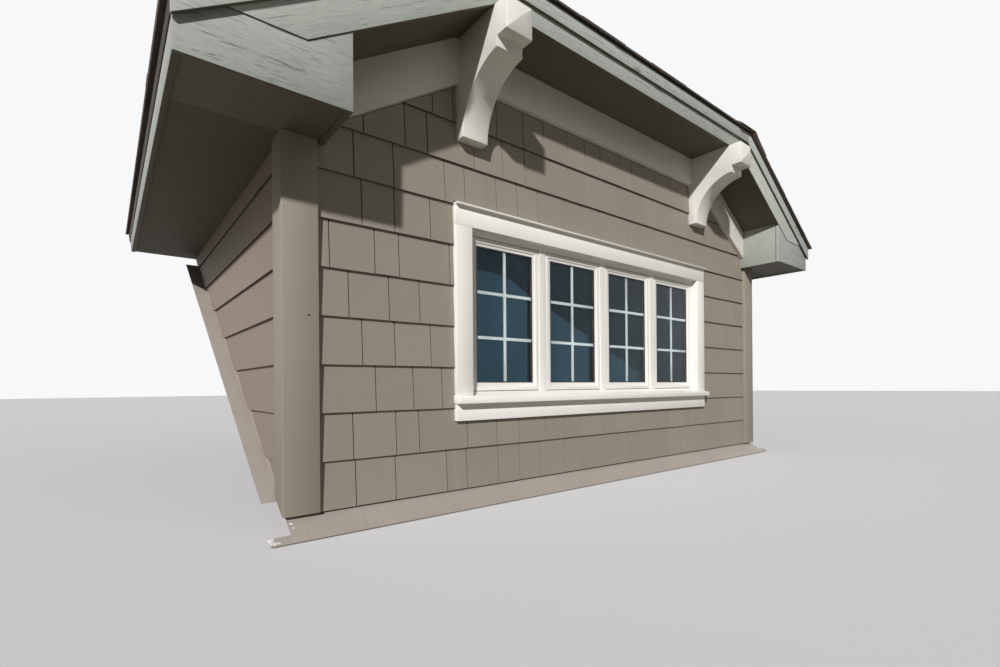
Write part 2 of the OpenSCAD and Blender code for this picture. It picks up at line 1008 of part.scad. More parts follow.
// Hip rafters on the two hips
module hips() {
    fall = (clip_slope_z(hip_y) - clip_top) / hip_len;
    hip_v = rafter_h * sqrt(1 + fall * fall);
    both_sides()
        intersection() {
            translate([knee_x, edge_y, 0])
                rotate([0, 0, hip_turn])
                    along_y(-stud_t / 2, stud_t / 2)
                        polygon([
                            [0, clip_top],
                            [hip_len + stud_t, clip_top + fall * (hip_len + stud_t)],
                            [hip_len + stud_t, clip_top + fall * (hip_len + stud_t) - hip_v],
                            [0, clip_top - hip_v]
                        ]);
            translate([seat_gap / 2, edge_y, 0])
                cube([knee_x, hip_run, 2 * apex_z]);
            along_y(edge_y, hip_y)
                polygon([
                    [0, 0],
                    [edge_x, 0],
                    [edge_x, slope_z(edge_x)],
                    [0, apex_z]
                ]);
        }
}

// Jack rafters between the hips
module jacks() {
    count = floor((knee_x - stud_t) / stud_gap);
    intersection() {
        for (i = [-count : count])
            along_x(i * stud_gap - stud_t / 2, i * stud_gap + stud_t / 2)
                polygon([
                    [edge_y, clip_top],
                    [hip_y, clip_slope_z(hip_y)],
                    [hip_y, clip_slope_z(hip_y) - rafter_h * clip_plumb],
                    [edge_y, clip_top - rafter_h * clip_plumb]
                ]);
        linear_extrude(2 * apex_z)
            polygon([
                [hip_half_x + seat_gap - knee_x, edge_y],
                [knee_x - hip_half_x - seat_gap, edge_y],
                [0, hip_y - hip_half_y - seat_gap]
            ]);
    }
}

module hip_rafters() {
    first = fascia_y + fascia_t;
    color(lumber)
        intersection() {
            difference() {
                union() {
                    hips();
                    jacks();
                }
                translate([-fascia_x, edge_y - stud_t, 0])
                    cube([2 * fascia_x, first - edge_y + stud_t, 2 * apex_z]);
                translate([-fascia_x, edge_y, 0])
                    cube([2 * fascia_x, stud_front - edge_y, soffit_z + soffit_t]);
                along_y(sheath_y, stud_d / 2) wall_outline(sheath_x, 0);
            }
            along_x(-edge_x, edge_x)
                polygon([
                    [edge_y, 0],
                    [hip_y, 0],
                    [hip_y, clip_slope_z(hip_y)],
                    [edge_y, clip_top]
                ]);
        }
}

module deck(side) {
    color(board) side_layer(side, 0, deck_t, 0);
}

module deck_front() {
    color(board) clip_layer(0, deck_t, 0);
}

// The roof covering is one sheet on each slope
module shingles(side) {
    color(shingle_brown) side_layer(side, deck_t, deck_t + shingle_t, shingle_over);
}

module shingles_front() {
    color(shingle_brown) clip_layer(deck_t, deck_t + shingle_t, shingle_over);
}

// Bent caps along the ridge and down the two hips
module roof_caps() {
    lo = deck_t + shingle_t;
    hi = lo + cap_t;
    color(shingle_brown)
        intersection() {
            union() {
                side_layer(-1, lo, hi, shingle_over);
                side_layer(1, lo, hi, shingle_over);
                clip_layer(lo, hi, shingle_over);
            }
            linear_extrude(2 * apex_z)
                union() {
                    translate([-cap_w, hip_y]) square([2 * cap_w, far_y]);
                    for (side = [-1, 1])
                        scale([side, 1])
                            translate([knee_x, edge_y])
                                rotate(hip_turn)
                                    translate([-2 * shingle_over, -cap_w])
                                        square([hip_len + 2 * shingle_over + cap_w, 2 * cap_w]);
                }
        }
}

// Flashing

// Apron that leaves the wall under the siding and lies on the main roof
module apron_flashing() {
    sheet = metal_t * main_plumb;
    edge = siding_y - apron_run;
    back = sheath_y - metal_t;
    leg_x = corner_x - siding_gap;
    color(flashing_grey) {
        along_x(-siding_x, siding_x)
            polygon([
                [edge, flange_z(edge) - sheet],
                [sheath_y, flange_z(sheath_y) - sheet],
                [sheath_y, flange_z(sheath_y)],
                [edge, flange_z(edge)]
            ]);
        translate([-leg_x, back, flange_z(sheath_y) - sheet])
            cube([2 * leg_x, metal_t, siding_lift + apron_leg - flange_z(sheath_y) + sheet]);
        along_x(-trim_x - apron_reach, trim_x + apron_reach)
            polygon([
                [edge, flange_z(edge) - sheet],
                [edge + tongue_run, flange_z(edge + tongue_run) - sheet],
                [edge + tongue_run, flange_z(edge + tongue_run)],
                [edge, flange_z(edge)]
            ]);
    }
}

// Angle along the foot of a cheek wall, up behind the siding and out on the roof
module cheek_flashings() {
    front = corner_back;
    top = eave_soffit_z - cheek_gap;
    end_y = main_y(top - cheek_gap);
    sheet = metal_t * main_plumb;
    leg = cheek_gap - siding_gap;
    color(flashing_grey)
        both_sides() {
            along_x(sheath_x, sheath_x + metal_t)
                polygon([
                    [front, main_z(front)],
                    [end_y, main_z(end_y)],
                    [end_y, main_z(end_y) + leg],
                    [front, main_z(front) + leg]
                ]);
            along_x(sheath_x, sheath_x + cheek_flash_w)
                polygon([
                    [front, main_z(front)],
                    [end_y, main_z(end_y)],
                    [end_y, main_z(end_y) + sheet],
                    [front, main_z(front) + sheet]
                ]);
        }
}

front_frame();
cheek_frames();
front_sheathing();
cheek_sheathing();
front_siding();
cheek_siding(-1);  // cheek_siding_left
cheek_siding(1);  // cheek_siding_right
corner_board(-1);  // corner_board_left
corner_board(1);  // corner_board_right
window_frame();
window_sashes();
window_glass();
head_casing();
drip_cap();
side_casings();
window_sill();
apron_board();
front_frieze();
rake_friezes();
bracket(-1);  // bracket_left
bracket(1);  // bracket_right
eave_return(-1);  // return_left
eave_return(1);  // return_right
front_fascia();
rake_fascia(-1);  // rake_fascia_left
rake_fascia(1);  // rake_fascia_right
eave_fascias();
front_trim();
rake_trims();
eave_trims();
front_soffit();
rake_soffits();
eave_soffits();
ridge_board();
rafters();
hip_rafters();
deck(-1);  // deck_left
deck(1);  // deck_right
deck_front();
shingles(-1);  // shingles_left
shingles(1);  // shingles_right
shingles_front();
roof_caps();
apron_flashing();
cheek_flashings();
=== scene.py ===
import math
import random

import bmesh
import bpy
from mathutils import Matrix, Vector


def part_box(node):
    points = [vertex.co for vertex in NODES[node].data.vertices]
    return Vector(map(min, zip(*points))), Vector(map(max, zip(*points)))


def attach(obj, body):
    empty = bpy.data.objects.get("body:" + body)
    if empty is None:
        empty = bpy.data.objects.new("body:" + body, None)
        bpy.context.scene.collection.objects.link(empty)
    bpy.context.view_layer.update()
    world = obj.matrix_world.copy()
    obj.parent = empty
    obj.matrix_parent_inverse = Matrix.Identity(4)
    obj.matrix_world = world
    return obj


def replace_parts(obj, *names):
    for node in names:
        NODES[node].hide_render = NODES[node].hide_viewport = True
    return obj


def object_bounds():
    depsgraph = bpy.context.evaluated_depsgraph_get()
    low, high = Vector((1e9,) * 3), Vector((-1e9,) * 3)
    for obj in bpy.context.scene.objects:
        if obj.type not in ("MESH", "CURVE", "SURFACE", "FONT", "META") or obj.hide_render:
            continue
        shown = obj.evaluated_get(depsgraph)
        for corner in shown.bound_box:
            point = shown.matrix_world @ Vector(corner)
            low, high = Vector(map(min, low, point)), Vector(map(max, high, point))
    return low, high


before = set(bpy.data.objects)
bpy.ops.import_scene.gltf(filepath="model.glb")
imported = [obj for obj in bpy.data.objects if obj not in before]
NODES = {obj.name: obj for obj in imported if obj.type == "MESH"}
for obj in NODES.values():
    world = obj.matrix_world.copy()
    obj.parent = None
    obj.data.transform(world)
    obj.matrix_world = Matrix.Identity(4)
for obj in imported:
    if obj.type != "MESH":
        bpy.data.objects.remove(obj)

CAD_BOX = [list(v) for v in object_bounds()]

# Sizes of the part, in metres, that the pieces below are laid out by

SLOPE = 0.625
PLUMB = math.sqrt(1 + SLOPE * SLOPE)
COS, SIN = 1 / PLUMB, SLOPE / PLUMB
RAKE = math.atan(SLOPE)
COURSE = 0.1778
EXPOSURE = 0.143
SIDING_HEAD_T = 0.008
BOARD_T = 0.019
DECK_T = 0.012
OVER = 0.020
SEAT_Z = 0.014
GAP = 0.003
JOINT = 0.0045

# Planes and edges read from the frame's boxes

SHEATH_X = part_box("front_sheathing")[1].x
SHEATH_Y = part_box("front_sheathing")[0].y
SIDING_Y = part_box("front_siding")[0].y
KNEE_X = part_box("front_trim")[1].x
EDGE_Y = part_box("front_trim")[0].y
CLIP_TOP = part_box("front_trim")[1].z
EDGE_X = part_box("eave_trims")[1].x
RETURN_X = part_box("return_right")[0].x
RETURN_JOINT_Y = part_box("return_right")[0].y + BOARD_T
RETURN_SOFFIT_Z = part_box("eave_soffits")[0].z
GLASS_LO, GLASS_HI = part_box("window_glass")

# The side slopes' deck lies on z = APEX - SLOPE * |x|, and the hips run from the knees back to HIP_Y
# on the ridge. FRIEZE_LINE is z + SLOPE * |x| just under the raking friezes.

APEX = CLIP_TOP + SLOPE * KNEE_X
HIP_Y = EDGE_Y + KNEE_X
FRIEZE_LINE = 2.4170
SIDING_T = SHEATH_Y - SIDING_Y
INNER_X = RETURN_X - GAP
SIDE_TOP = RETURN_SOFFIT_Z - GAP

# Height of the flashing's face at the siding, and of that face over the main roof's deck

FLANGE_Z = 0.018
FLANGE_OVER_DECK = 0.0165


def flange_z(y):
    """Height of the apron flashing's upper face."""
    return FLANGE_Z + SLOPE * (y - SIDING_Y)


def main_z(y):
    """Height of the main roof's deck."""
    return flange_z(y) - FLANGE_OVER_DECK


# Materials

def lin(r, g, b):
    """An sRGB colour out of 255 as linear light."""
    parts = [c / 255 for c in (r, g, b)]
    return tuple(c / 12.92 if c <= 0.04045 else ((c + 0.055) / 1.055) ** 2.4 for c in parts)


def shade(colour, k):
    return tuple(min(1, c * k) for c in colour)


TAUPE = lin(143, 134, 122)
CHEEK_TAUPE = lin(138, 123, 110)
CORNER_TAUPE = lin(149, 140, 125)
SIDING_DUST = lin(158, 146, 130)
CHEEK_DUST = lin(152, 138, 124)
# The factor below darkens the siding's faces that look down; it paints their shade.
LAP_UNDERSIDE_SHADE = (0.16, 0.14, 0.12)
SAGE = lin(168, 173, 164)
# The dark below colours cracks, a return's joint line and the painted shadow under a return's end board.
CRACK_AND_SHADE = (0.22, 0.21, 0.18)
# The soffits' colour below is dark to paint in the shade under the eaves; rough boards take it on their
# faces that look down as painted shade.
SHADED_SOFFIT = lin(92, 87, 72)
ROOF_EDGE = lin(43, 33, 28)
WHITE = lin(238, 236, 229)
# TRIM_WHITE is the white a little darker, on the friezes and brackets; on the friezes, which lie in the
# eaves' shade, it paints that shade in.
TRIM_WHITE = lin(226, 223, 214)
ROOM_WOOD = lin(92, 66, 44), lin(140, 104, 72)
GRANULES = [lin(84, 74, 70), lin(112, 98, 90), lin(134, 116, 106), lin(98, 88, 86), lin(122, 108, 100)]
GREY_SPECK = (0.5, 0.5, 0.5)
PALE_SPECK = (0.9, 0.86, 0.8)
PINE = lin(206, 172, 122)
STRAND = lin(186, 150, 100)
FELT = lin(22, 20, 19), lin(34, 31, 29)
FLASHING = lin(164, 155, 145)
FLASHING_DIRT = lin(126, 112, 100)
SEALANT_WHITE = lin(196, 192, 186), lin(226, 224, 220)
STEEL = lin(62, 54, 48), lin(84, 74, 66)
RUBBER = lin(30, 29, 33), lin(42, 40, 44)
OUTER_TINT = (0.92, 0.98, 1.0)
# The inner pane's near-black blue tint paints in the shade of the dark room behind the window.
ROOM_SHADE_TINT = (0.022, 0.050, 0.070)
# SKY_GLOSS tints the glass's gloss blue, a painted reflection of the sky.
SKY_GLOSS = (0.50, 0.80, 1.0, 1.0)
PALE_FLOOR = (0.76, 0.76, 0.755), (0.77, 0.77, 0.765)
ROOF_BOUNCE = (0.215, 0.197, 0.155)
BLACK = (0, 0, 0)
FULL = (1, 1, 1)

# Half width of a painted joint, and margins by which a painted limit clears the plane it follows

LINE_HALF = 0.0028
FACE_MARGIN = 0.0005
JOINT_MARGIN = 0.0002
SOFFIT_MARGIN = 0.0003
GLASS_MARGIN = 0.001

# A face looks down when its normal's Z is under FACING_DOWN. KNOT_SHARE is how dark a knot is beside
# a crack, and CRACK_DEPTH how deep a crack is beside the grain.

FACING_DOWN = -0.5
KNOT_SHARE = 0.7
CRACK_DEPTH = 1.4

# Turns that lay a material's grain along an axis or a rake, or askew to all of them

ALONG_X = (0, 0, 0)
ALONG_Y = (0, 0, math.radians(-90))
UP = (0, math.radians(90), 0)
UP_LEFT_RAKE = (0, RAKE, 0)
UP_RIGHT_RAKE = (0, -RAKE, 0)
ASKEW = (0.6, 0.4, 0.5)


class Paint:
    """A material and short ways to add nodes to it."""

    def __init__(self, name, roughness, **sockets):
        self.mat = bpy.data.materials.new(name)
        self.mat.use_nodes = True
        self.tree = self.mat.node_tree
        self.shader = self.tree.nodes["Principled BSDF"]
        self.shader.inputs["Roughness"].default_value = roughness
        for key, value in sockets.items():
            self.shader.inputs[key.replace("_", " ")].default_value = value

    def node(self, kind, links=None, **values):
        n = self.tree.nodes.new(kind)
        for key, value in values.items():
            setattr(n, key, value)
        for key, value in (links or {}).items():
            if isinstance(value, bpy.types.NodeSocket):
                self.tree.links.new(value, n.inputs[key])
            else:
                n.inputs[key].default_value = value
        return n

    def coords(self, turn=(0, 0, 0), stretch=(1, 1, 1)):
        point = self.node("ShaderNodeTexCoord").outputs["Object"]
        turned = self.node("ShaderNodeMapping", {"Vector": point, "Rotation": turn})
        scaled = self.node("ShaderNodeMapping", {"Vector": turned.outputs[0], "Scale": stretch})
        return scaled.outputs[0]

    def place(self):
        """X, Y and Z of the point, in the part's own frame."""
        return self.node("ShaderNodeSeparateXYZ", {0: self.coords()}).outputs

    def looks_down(self):
        """One on the faces that look down."""
        normal = self.node("ShaderNodeNewGeometry").outputs["Normal"]
        height = self.node("ShaderNodeSeparateXYZ", {0: normal}).outputs["Z"]
        return self.math("LESS_THAN", height, FACING_DOWN)

    def by_island(self):
        """A value of its own for each separate part of a mesh."""
        return self.node("ShaderNodeNewGeometry").outputs["Random Per Island"]

    def noise(self, where, scale, detail=3.0, rough=0.5, bend=0.0):
        links = {"Vector": where, "Scale": scale, "Detail": detail, "Roughness": rough}
        return self.node("ShaderNodeTexNoise", links | {"Distortion": bend}).outputs["Fac"]

    def cells(self, where, scale):
        return self.node("ShaderNodeTexVoronoi", {"Vector": where, "Scale": scale}).outputs

    def ramp(self, fac, stops):
        n = self.node("ShaderNodeValToRGB", {"Fac": fac})
        while len(n.color_ramp.elements) < len(stops):
            n.color_ramp.elements.new(0.5)
        for e, (position, colour) in zip(n.color_ramp.elements, stops):
            e.position = position
            e.color = tuple(colour) + (1,)
        return n.outputs["Color"]

    def fade(self, fac, low, high, start=0.3, end=0.7):
        """Runs from one colour to another while fac runs from start to end."""
        return self.ramp(fac, [(start, low), (end, high)])

    def math(self, kind, a, b=0.0):
        return self.node("ShaderNodeMath", {0: a, 1: b}, operation=kind).outputs[0]

    def mix(self, fac, a, b, blend="MIX"):
        n = self.node("ShaderNodeMix", data_type="RGBA", blend_type=blend)
        colours = [i for i in n.inputs if i.type == "RGBA"]
        for socket, value in zip([n.inputs[0]] + colours, (fac, a, b)):
            if isinstance(value, bpy.types.NodeSocket):
                self.tree.links.new(value, socket)
            else:
                socket.default_value = value if socket.type == "VALUE" else tuple(value) + (1,)
        return next(o for o in n.outputs if o.type == "RGBA")

    def times(self, a, b):
        """Two colours multiplied."""
        return self.mix(1.0, a, b, "MULTIPLY")

    def over(self, base, colour, where, share):
        """A colour laid over another, up to a share of it where the third value is one."""
        return self.mix(self.math("MULTIPLY", where, share), base, colour)

    def colour(self, socket):
        self.tree.links.new(socket, self.shader.inputs["Base Color"])

    def bump(self, height, strength, depth):
        out = self.node("ShaderNodeBump", {"Height": height, "Strength": strength, "Distance": depth})
        self.tree.links.new(out.outputs[0], self.shader.inputs["Normal"])


def painted_wood(name, colour, turn, grain=0.25, depth=0.0006, spread=0.05, roughness=0.62,
                 checks=0.0, under=None, of_return=False):
    """Paint over wood whose grain runs along the turned X axis. checks adds the cracks of a rough-sawn
    face, under is a darker colour painted on faces that look down as their shade, and of_return adds
    the dark joint line of a return's boards and a painted shadow where the end board hangs lower."""
    p = Paint(name, roughness)
    plain = p.coords(turn)
    fine = p.noise(p.coords(turn, stretch=(2.2, 30, 30)), scale=8, detail=5, rough=0.68, bend=1.1)
    # Faces that look down take the darker colour: painted shade.
    if under:
        base = p.mix(p.looks_down(), colour, under)
    else:
        base = p.mix(p.noise(plain, scale=0.7, detail=1), shade(colour, 0.98), colour)
    patches = p.fade(p.noise(plain, scale=2.3, detail=2), shade(FULL, 1 - spread), FULL)
    streaks = p.fade(fine, shade(FULL, 1 - grain), FULL, start=0.25, end=0.62)
    base = p.times(p.times(base, patches), streaks)
    height = fine
    if checks:
        crack = saw_checks(p, turn)
        # A return also gets its dark joint line and a painted shadow under its end board.
        if of_return:
            crack = p.math("MAXIMUM", crack, joint_line(p))
            crack = p.math("MAXIMUM", crack, lip_shadow(p))
        base = p.over(base, p.times(base, CRACK_AND_SHADE), crack, share=checks)
        height = p.math("SUBTRACT", fine, p.math("MULTIPLY", crack, CRACK_DEPTH))
    p.colour(base)
    p.bump(height, strength=0.5, depth=depth)
    return p.mat


def saw_checks(p, turn):
    """Thin cracks along the grain, in patches, and a few small knots."""
    lines = p.noise(p.coords(turn, stretch=(1.5, 36, 36)), scale=3.1, detail=5, rough=0.7, bend=1.5)
    crack = p.fade(lines, FULL, BLACK, start=0.360, end=0.405)
    patchy = p.fade(p.noise(p.coords(turn), scale=4.5, detail=2), BLACK, FULL, start=0.37, end=0.49)
    knots = p.cells(p.coords(turn, stretch=(3.6, 11, 11)), scale=1.0)
    spot = p.fade(knots["Distance"], FULL, BLACK, start=0.07, end=0.14)
    return p.math("MAXIMUM", p.math("MULTIPLY", crack, patchy), p.math("MULTIPLY", spot, KNOT_SHARE))


def joint_line(p):
    """An upright line on the end board, where the front board of a return covers its edge."""
    place = p.place()
    off = p.math("ABSOLUTE", p.math("SUBTRACT", place["Y"], RETURN_JOINT_Y))
    on_end = p.math("LESS_THAN", p.math("ABSOLUTE", place["X"]), RETURN_X + FACE_MARGIN)
    return p.math("MULTIPLY", p.math("LESS_THAN", off, LINE_HALF), on_end)


def lip_shadow(p):
    """Painted shadow on the outer side of the end board, where it hangs below the bottom board."""
    place = p.place()
    behind = p.math("GREATER_THAN", place["Y"], RETURN_JOINT_Y + JOINT_MARGIN)
    outer = p.math("GREATER_THAN", p.math("ABSOLUTE", place["X"]), RETURN_X + BOARD_T - FACE_MARGIN)
    low = p.math("LESS_THAN", place["Z"], RETURN_SOFFIT_Z - SOFFIT_MARGIN)
    return p.math("MULTIPLY", p.math("MULTIPLY", behind, outer), low)


def shade_under_laps(p, base):
    """Painted shade darkens the faces that look down, at the lower edge of each course."""
    return p.mix(p.looks_down(), base, p.times(base, LAP_UNDERSIDE_SHADE))


def shingle_siding():
    """Grained paint, each shingle in a shade of its own, under a little dust."""
    p = Paint("siding_paint", roughness=0.66)
    grain = p.noise(p.coords(UP, stretch=(1.5, 30, 30)), scale=7, detail=4, rough=0.6, bend=0.3)
    each = p.ramp(p.by_island(), [(0.0, shade(TAUPE, 0.955)), (0.5, TAUPE), (1.0, shade(TAUPE, 1.045))])
    streaks = p.fade(grain, shade(TAUPE, 0.8), shade(TAUPE, 1.1), start=0.3, end=0.65)
    dust = p.noise(p.coords(), scale=3.0, detail=3)
    base = p.over(p.mix(0.16, each, streaks), SIDING_DUST, dust, share=0.12)
    p.colour(shade_under_laps(p, base))
    p.bump(grain, strength=0.35, depth=0.0008)
    return p.mat


def lap_siding():
    """The cheeks' long boards, grained and dusty."""
    p = Paint("lap_siding_paint", roughness=0.66)
    grain = p.noise(p.coords(ALONG_Y, stretch=(1.3, 24, 24)), scale=6, detail=4, rough=0.6, bend=0.6)
    base = p.fade(grain, shade(CHEEK_TAUPE, 0.86), shade(CHEEK_TAUPE, 0.97), start=0.25, end=0.7)
    dust = p.noise(p.coords(), scale=2.0, detail=2)
    p.colour(shade_under_laps(p, p.over(base, CHEEK_DUST, dust, share=0.2)))
    p.bump(grain, strength=0.4, depth=0.0009)
    return p.mat


def asphalt(name, colours):
    """Mineral granules on asphalt, each tab in its own blend."""
    p = Paint(name, roughness=0.92)
    grains = p.cells(p.coords(), scale=620.0)
    each = p.ramp(p.by_island(), [(i / (len(colours) - 1), c) for i, c in enumerate(colours)])
    patch = p.noise(p.coords(), scale=22, detail=3, rough=0.6)
    each = p.over(each, colours[1], patch, share=0.5)
    dark_speck = shade(colours[0], 0.45)
    speck = p.ramp(grains["Color"], [(0.1, dark_speck), (0.5, GREY_SPECK), (0.95, PALE_SPECK)])
    p.colour(p.mix(0.42, each, speck, "OVERLAY"))
    p.bump(grains["Distance"], strength=0.8, depth=0.0012)
    return p.mat


def lumber(name, turn):
    p = Paint(name, roughness=0.75)
    rings = p.noise(p.coords(turn, stretch=(1.0, 18, 18)), scale=5, detail=4, rough=0.6, bend=1.4)
    p.colour(p.ramp(rings, [(0.3, shade(PINE, 0.72)), (0.5, PINE), (0.7, shade(PINE, 1.15))]))
    p.bump(rings, strength=0.3, depth=0.0006)
    return p.mat


def sheathing(name):
    """Strand board with dark felt paper on its outer face."""
    p = Paint(name, roughness=0.8)
    flakes = p.cells(p.coords(ASKEW, stretch=(9, 42, 30)), scale=1.6)
    wood = p.ramp(flakes["Color"], [(0.1, shade(STRAND, 0.7)), (0.5, STRAND), (0.9, shade(STRAND, 1.22))])
    place = p.place()
    front = p.math("LESS_THAN", place["Y"], SHEATH_Y + FACE_MARGIN)
    side = p.math("GREATER_THAN", p.math("ABSOLUTE", place["X"]), SHEATH_X - FACE_MARGIN)
    felt = p.fade(p.noise(p.coords(), scale=30, detail=3), *FELT)
    p.colour(p.mix(p.math("MAXIMUM", front, side), wood, felt))
    p.bump(flakes["Distance"], strength=0.4, depth=0.0008)
    return p.mat


def white_paint(name, turn, colour=WHITE):
    """Smooth paint with faint marks of the brush."""
    p = Paint(name, roughness=0.45)
    brush = p.noise(p.coords(turn, stretch=(1.5, 60, 60)), scale=8, detail=3, rough=0.5)
    soft = p.noise(p.coords(), scale=3.5, detail=3)
    base = p.fade(soft, shade(colour, 0.96), shade(colour, 1.02))
    p.colour(p.mix(0.06, base, p.fade(brush, shade(colour, 0.8), colour, start=0.3, end=0.6)))
    p.bump(brush, strength=0.15, depth=0.0003)
    return p.mat


def window_vinyl():
    """White on the outside, and brown wood behind the line of the glass."""
    p = Paint("window_white", roughness=0.35)
    inside = p.math("GREATER_THAN", p.place()["Y"], GLASS_LO.y + GLASS_MARGIN)
    rings = p.noise(p.coords(UP, stretch=(1.2, 40, 40)), scale=5, detail=4, rough=0.6, bend=0.8)
    white = p.fade(p.noise(p.coords(), scale=6, detail=2), shade(WHITE, 0.94), shade(WHITE, 0.99))
    p.colour(p.mix(inside, white, p.fade(rings, *ROOM_WOOD)))
    p.bump(p.noise(p.coords(), scale=400, detail=2), strength=0.06, depth=0.0002)
    return p.mat


def clear_glass(name, tint):
    """Glass whose gloss is tinted blue as a painted reflection of the sky, and a tint that is faintly
    smeared.
    """
    p = Paint(name, roughness=0.0, Transmission_Weight=1.0, IOR=1.23, Specular_Tint=SKY_GLOSS)
    p.colour(p.fade(p.noise(p.coords(), scale=3.0, detail=3), shade(tint, 0.8), tint))
    return p.mat


def sheet_metal():
    """Painted sheet, a little uneven, with dirt that runs down it."""
    p = Paint("flashing_paint", roughness=0.5)
    cloud = p.noise(p.coords(), scale=5.0, detail=4)
    base = p.fade(cloud, shade(FLASHING, 0.94), shade(FLASHING, 1.03))
    runs = p.noise(p.coords(stretch=(14, 3, 3)), scale=4, detail=4, rough=0.65)
    dirt = p.fade(runs, BLACK, FULL, start=0.55, end=0.75)
    p.colour(p.over(base, FLASHING_DIRT, dirt, share=0.25))
    p.bump(p.noise(p.coords(), scale=9.0, detail=2), strength=0.25, depth=0.002)
    return p.mat


def two_tone(name, colours, scale, roughness, **sockets):
    """A plain stuff in two near shades."""
    p = Paint(name, roughness, **sockets)
    p.colour(p.fade(p.noise(p.coords(), scale, detail=2), *colours))
    return p.mat


def in_sight(tree):
    """One for the rays that show the background, in the camera, in gloss or through glass."""
    path = tree.nodes.new("ShaderNodeLightPath")
    seen = path.outputs["Is Camera Ray"]
    for key in ("Is Glossy Ray", "Is Transmission Ray"):
        either = tree.nodes.new("ShaderNodeMath")
        either.operation = "MAXIMUM"
        tree.links.new(seen, either.inputs[0])
        tree.links.new(path.outputs[key], either.inputs[1])
        seen = either.outputs[0]
    return seen


def floor_paint():
    """Pale where it is seen. It throws back less light than that, as a roof round the dormer would."""
    p = Paint("floor_paint", roughness=0.9)
    pale = p.fade(p.noise(p.coords(), scale=0.6, detail=2), *PALE_FLOOR)
    p.colour(p.mix(in_sight(p.tree), ROOF_BOUNCE, pale))
    return p.mat


# Rough-sawn boards; their faces that look down take the soffits' dark colour as painted shade.
ROUGH = {"grain": 0.28, "depth": 0.0012, "roughness": 0.7, "under": SHADED_SOFFIT}
UNDERSIDE = {"grain": 0.35, "depth": 0.0008, "spread": 0.12, "roughness": 0.75}
SIDING = shingle_siding()
LAP = lap_siding()
CORNER = painted_wood("corner_paint", CORNER_TAUPE, UP, grain=0.06, depth=0.0004)
# The front fascia, its trims and the rake fascias are lighter copies of the one sage paint; the added
# lightness paints in light on these boards.
FASCIA_X = painted_wood("fascia_level", shade(SAGE, 1.22), ALONG_X, checks=0.8, **ROUGH)
RETURN_BOARDS = painted_wood("fascia_return", SAGE, ALONG_X, checks=0.8, of_return=True, **ROUGH)
FASCIA_Y = painted_wood("fascia_eave", SAGE, ALONG_Y, checks=0.6, **ROUGH)
EAVE_TRIM = painted_wood("trim_eave", ROOF_EDGE, ALONG_Y, grain=0.28, depth=0.0012)
FASCIA_L = painted_wood("fascia_rake_left", shade(SAGE, 1.36), UP_LEFT_RAKE, checks=0.7, **ROUGH)
FASCIA_R = painted_wood("fascia_rake_right", shade(SAGE, 1.42), UP_RIGHT_RAKE, checks=0.7, **ROUGH)
# The soffits take the dark colour that paints their shade.
SOFFIT_X = painted_wood("soffit_front", SHADED_SOFFIT, ALONG_X, **UNDERSIDE)
SOFFIT_Y = painted_wood("soffit_eave", SHADED_SOFFIT, ALONG_Y, **UNDERSIDE)
WHITE_X = white_paint("white_level", ALONG_X)
WHITE_Z = white_paint("white_upright", UP)
TRIM_X = white_paint("trim_level", ALONG_X, TRIM_WHITE)
TRIM_Z = white_paint("trim_upright", UP, TRIM_WHITE)
VINYL = window_vinyl()
SHINGLE = asphalt("roof_granules", GRANULES)
LUMBER_X = lumber("framing_level", ALONG_X)
LUMBER_Y = lumber("framing_back", ALONG_Y)
LUMBER_Z = lumber("framing_upright", UP)
BOARD = sheathing("strand_board")
METAL = sheet_metal()
SEALANT = two_tone("sealant", SEALANT_WHITE, scale=60, roughness=0.3, Coat_Weight=0.4)
NAIL = two_tone("nail_steel", STEEL, scale=300, roughness=0.5, Metallic=0.6)
GASKET = two_tone("gasket", RUBBER, scale=90, roughness=0.6)
OUTER_GLASS = clear_glass("glass_outer", OUTER_TINT)
INNER_GLASS = clear_glass("glass_inner", ROOM_SHADE_TINT)
BAR_PAINT = white_paint("bar_paint", UP)

LOOKS = {
    "front_frame": LUMBER_Z, "cheek_frames": LUMBER_Z,
    "front_sheathing": BOARD, "cheek_sheathing": BOARD,
    "front_siding": SIDING, "cheek_siding_left": LAP, "cheek_siding_right": LAP,
    "corner_board_left": CORNER, "corner_board_right": CORNER,
    "window_frame": VINYL, "window_sashes": VINYL, "window_glass": OUTER_GLASS,
    "head_casing": WHITE_X, "drip_cap": WHITE_X, "side_casings": WHITE_Z,
    "window_sill": WHITE_X, "apron_board": WHITE_X,
    "front_frieze": TRIM_X, "rake_friezes": TRIM_X,
    "bracket_left": TRIM_Z, "bracket_right": TRIM_Z,
    "return_left": RETURN_BOARDS, "return_right": RETURN_BOARDS,
    "front_fascia": FASCIA_X, "rake_fascia_left": FASCIA_L, "rake_fascia_right": FASCIA_R,
    "eave_fascias": FASCIA_Y, "front_trim": FASCIA_X, "rake_trims": FASCIA_X, "eave_trims": EAVE_TRIM,
    "front_soffit": SOFFIT_X, "rake_soffits": SOFFIT_X, "eave_soffits": SOFFIT_Y,
    "ridge_board": LUMBER_Y, "rafters": LUMBER_X, "hip_rafters": LUMBER_Y,
    "deck_left": BOARD, "deck_right": BOARD, "deck_front": BOARD,
    "shingles_left": SHINGLE, "shingles_right": SHINGLE, "shingles_front": SHINGLE, "roof_caps": SHINGLE,
    "apron_flashing": METAL, "cheek_flashings": METAL,
}


def dress(mesh, look):
    mesh.materials.clear()
    mesh.materials.append(look)


for name, look in LOOKS.items():
    dress(NODES[name].data, look)


# Meshes

def piece(name, mesh, look):
    """A new object in one look. The caller says what it rides on."""
    obj = bpy.data.objects.new(name, mesh)
    bpy.context.scene.collection.objects.link(obj)
    dress(mesh, look)
    return obj


